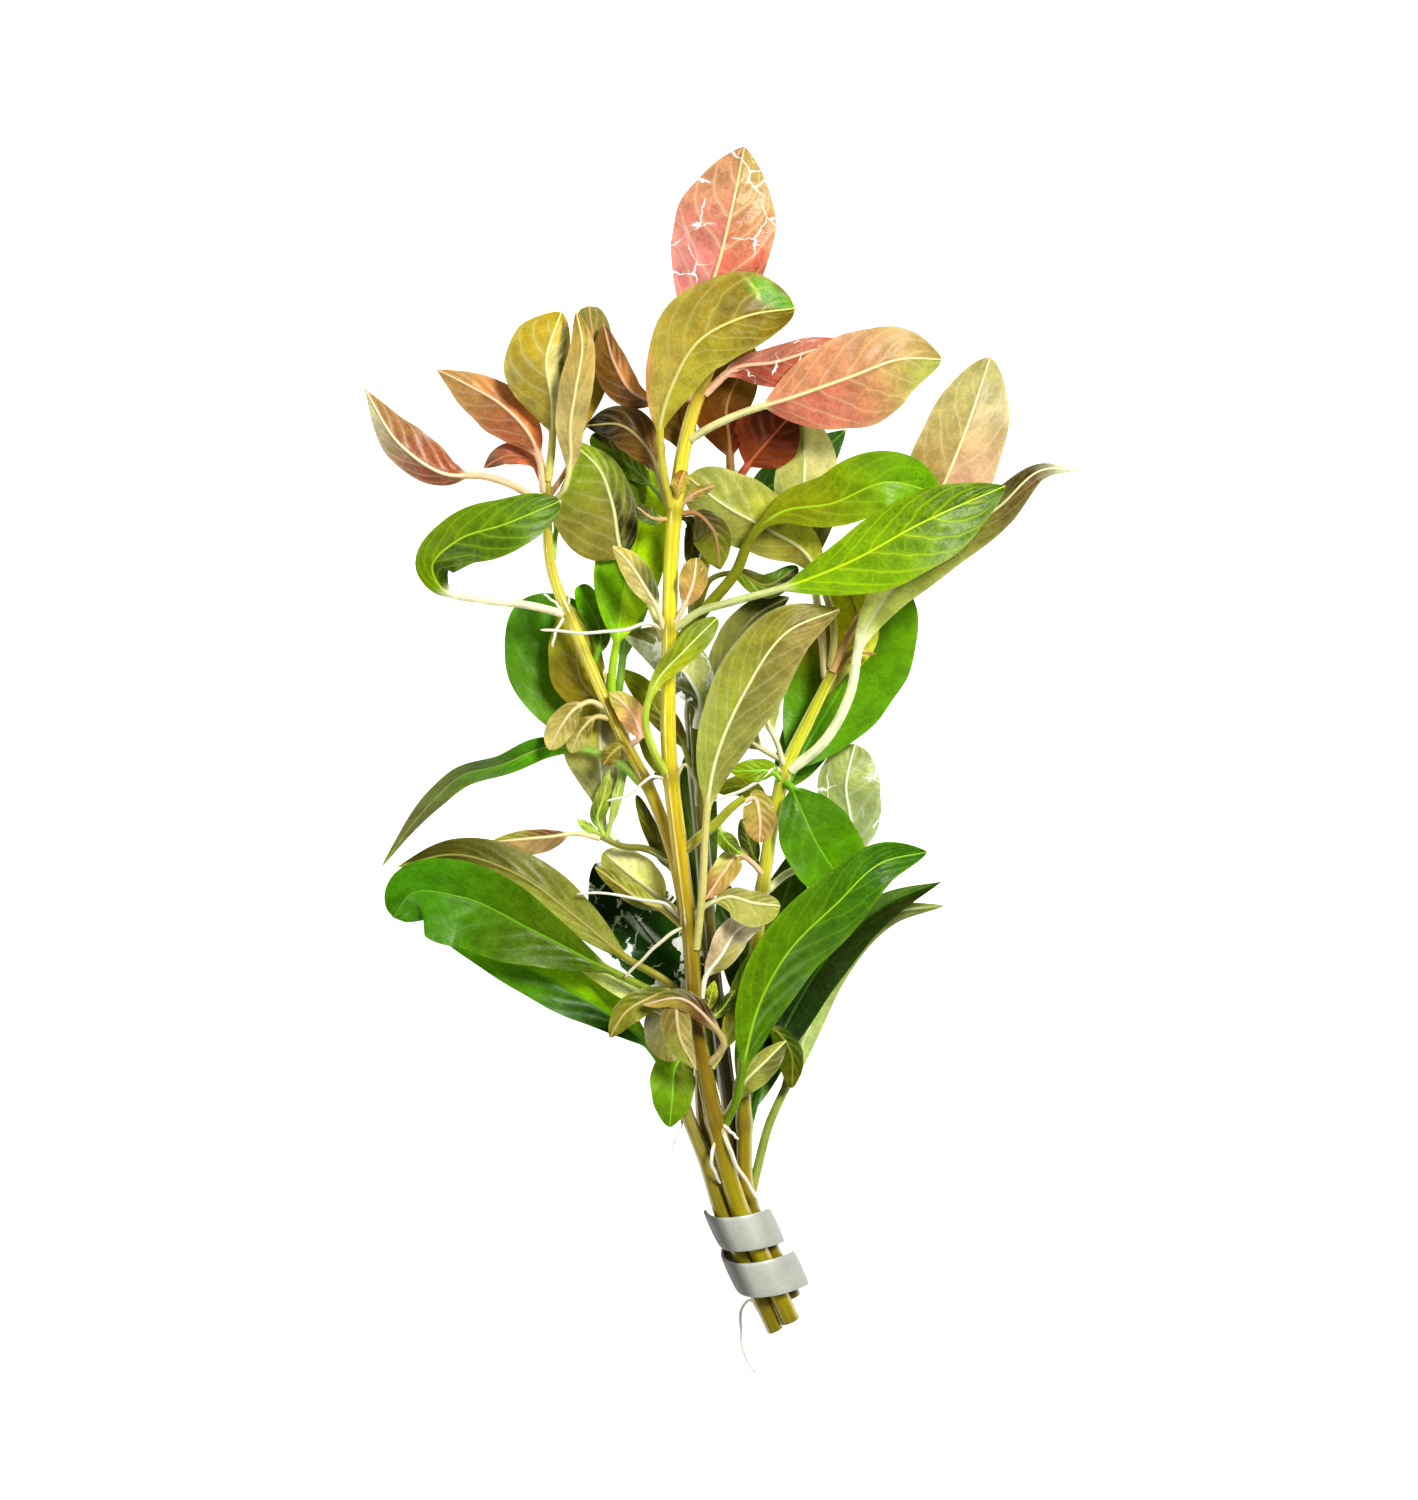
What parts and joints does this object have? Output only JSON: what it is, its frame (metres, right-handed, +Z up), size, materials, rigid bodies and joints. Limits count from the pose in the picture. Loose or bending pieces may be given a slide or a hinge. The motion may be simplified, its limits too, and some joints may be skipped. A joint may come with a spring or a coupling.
{
  "type": "ludwigia repens bunch",
  "caption": "Lying bunch of cut aquarium plant stems with red and green oval leaves, tied near the foot by a wound strip of soft grey metal.",
  "frame": {"origin": "middle of the footprint of the lying bunch, on the surface it lies on", "axes": "+Y from the cut ends towards the leaf tips, +Z up, away from the surface, +X to the right seen from above"},
  "size_m": [0.1202, 0.2051, 0.0363],
  "materials": {
    "stem_main": "gloss",
    "stem_left": "gloss",
    "stem_right": "gloss",
    "stem_back": "gloss",
    "stem_lower_left": "gloss",
    "shoot_low_left": "gloss",
    "shoot_low_right": "gloss",
    "leaf_top_pink": "gloss",
    "leaf_olive_hook": "gloss",
    "leaf_pink_right": "gloss",
    "leaf_red_folded": "gloss",
    "leaf_brown_top": "gloss",
    "leaf_dark_red_centre": "gloss",
    "leaf_pale_olive_upper": "gloss",
    "leaf_pale_olive_centre": "gloss",
    "leaf_green_right_upper": "gloss",
    "leaf_green_right_front": "gloss",
    "leaf_long_right": "gloss",
    "leaf_tan_right": "gloss",
    "leaf_pink_far_left": "gloss",
    "leaf_rust_left": "gloss",
    "leaf_olive_left": "gloss",
    "leaf_maroon_left": "gloss",
    "leaf_dark_centre_left": "gloss",
    "leaf_olive_mid_left": "gloss",
    "leaf_green_left_front": "gloss",
    "leaf_green_centre_left": "gloss",
    "leaf_dark_green_left": "gloss",
    "leaf_brown_left": "gloss",
    "leaf_grey_left": "gloss",
    "leaf_green_narrow": "gloss",
    "leaf_pale_wet": "gloss",
    "leaf_green_left_long": "gloss",
    "leaf_olive_left_low": "gloss",
    "leaf_green_left_low": "gloss",
    "leaf_dark_left_low": "gloss",
    "leaf_khaki_centre_left": "gloss",
    "leaf_dark_back_left": "gloss",
    "leaf_long_olive_centre": "gloss",
    "leaf_olive_behind_right": "gloss",
    "leaf_green_right_back": "gloss",
    "leaf_green_right_mid": "gloss",
    "leaf_pale_right": "gloss",
    "leaf_green_right_low": "gloss",
    "leaf_dark_right_low": "gloss",
    "leaf_rolled_right_low": "gloss",
    "leaf_tan_over_stem": "gloss",
    "leaf_pale_hanging": "gloss",
    "leaf_green_low_left": "gloss",
    "leaf_olive_low_centre": "gloss",
    "leaf_back_right_upper": "gloss",
    "leaf_back_left_upper": "gloss",
    "leaf_back_low_left": "gloss",
    "leaf_back_low_right": "gloss",
    "leaf_back_right": "gloss",
    "leaf_back_centre": "gloss",
    "leaf_back_top": "gloss",
    "leaf_grey_behind_petiole": "gloss",
    "lead_strip": "satin"
  },
  "bodies": {
    "root": {"stem_main": "stem_main", "stem_left": "stem_left", "stem_right": "stem_right", "stem_back": "stem_back", "stem_lower_left": "stem_lower_left", "shoot_low_left": "shoot_low_left", "shoot_low_right": "shoot_low_right", "leaf_top_pink": "leaf_top_pink", "leaf_olive_hook": "leaf_olive_hook", "leaf_pink_right": "leaf_pink_right", "leaf_red_folded": "leaf_red_folded", "leaf_brown_top": "leaf_brown_top", "leaf_dark_red_centre": "leaf_dark_red_centre", "leaf_pale_olive_upper": "leaf_pale_olive_upper", "leaf_pale_olive_centre": "leaf_pale_olive_centre", "leaf_green_right_upper": "leaf_green_right_upper", "leaf_green_right_front": "leaf_green_right_front", "leaf_long_right": "leaf_long_right", "leaf_tan_right": "leaf_tan_right", "leaf_pink_far_left": "leaf_pink_far_left", "leaf_rust_left": "leaf_rust_left", "leaf_olive_left": "leaf_olive_left", "leaf_maroon_left": "leaf_maroon_left", "leaf_dark_centre_left": "leaf_dark_centre_left", "leaf_olive_mid_left": "leaf_olive_mid_left", "leaf_green_left_front": "leaf_green_left_front", "leaf_green_centre_left": "leaf_green_centre_left", "leaf_dark_green_left": "leaf_dark_green_left", "leaf_brown_left": "leaf_brown_left", "leaf_grey_left": "leaf_grey_left", "leaf_green_narrow": "leaf_green_narrow", "leaf_pale_wet": "leaf_pale_wet", "leaf_green_left_long": "leaf_green_left_long", "leaf_olive_left_low": "leaf_olive_left_low", "leaf_green_left_low": "leaf_green_left_low", "leaf_dark_left_low": "leaf_dark_left_low", "leaf_khaki_centre_left": "leaf_khaki_centre_left", "leaf_dark_back_left": "leaf_dark_back_left", "leaf_long_olive_centre": "leaf_long_olive_centre", "leaf_olive_behind_right": "leaf_olive_behind_right", "leaf_green_right_back": "leaf_green_right_back", "leaf_green_right_mid": "leaf_green_right_mid", "leaf_pale_right": "leaf_pale_right", "leaf_green_right_low": "leaf_green_right_low", "leaf_dark_right_low": "leaf_dark_right_low", "leaf_rolled_right_low": "leaf_rolled_right_low", "leaf_tan_over_stem": "leaf_tan_over_stem", "leaf_pale_hanging": "leaf_pale_hanging", "leaf_green_low_left": "leaf_green_low_left", "leaf_olive_low_centre": "leaf_olive_low_centre", "leaf_back_right_upper": "leaf_back_right_upper", "leaf_back_left_upper": "leaf_back_left_upper", "leaf_back_low_left": "leaf_back_low_left", "leaf_back_low_right": "leaf_back_low_right", "leaf_back_right": "leaf_back_right", "leaf_back_centre": "leaf_back_centre", "leaf_back_top": "leaf_back_top", "leaf_grey_behind_petiole": "leaf_grey_behind_petiole", "lead_strip": "lead_strip"}
  },
  "joints": []
}
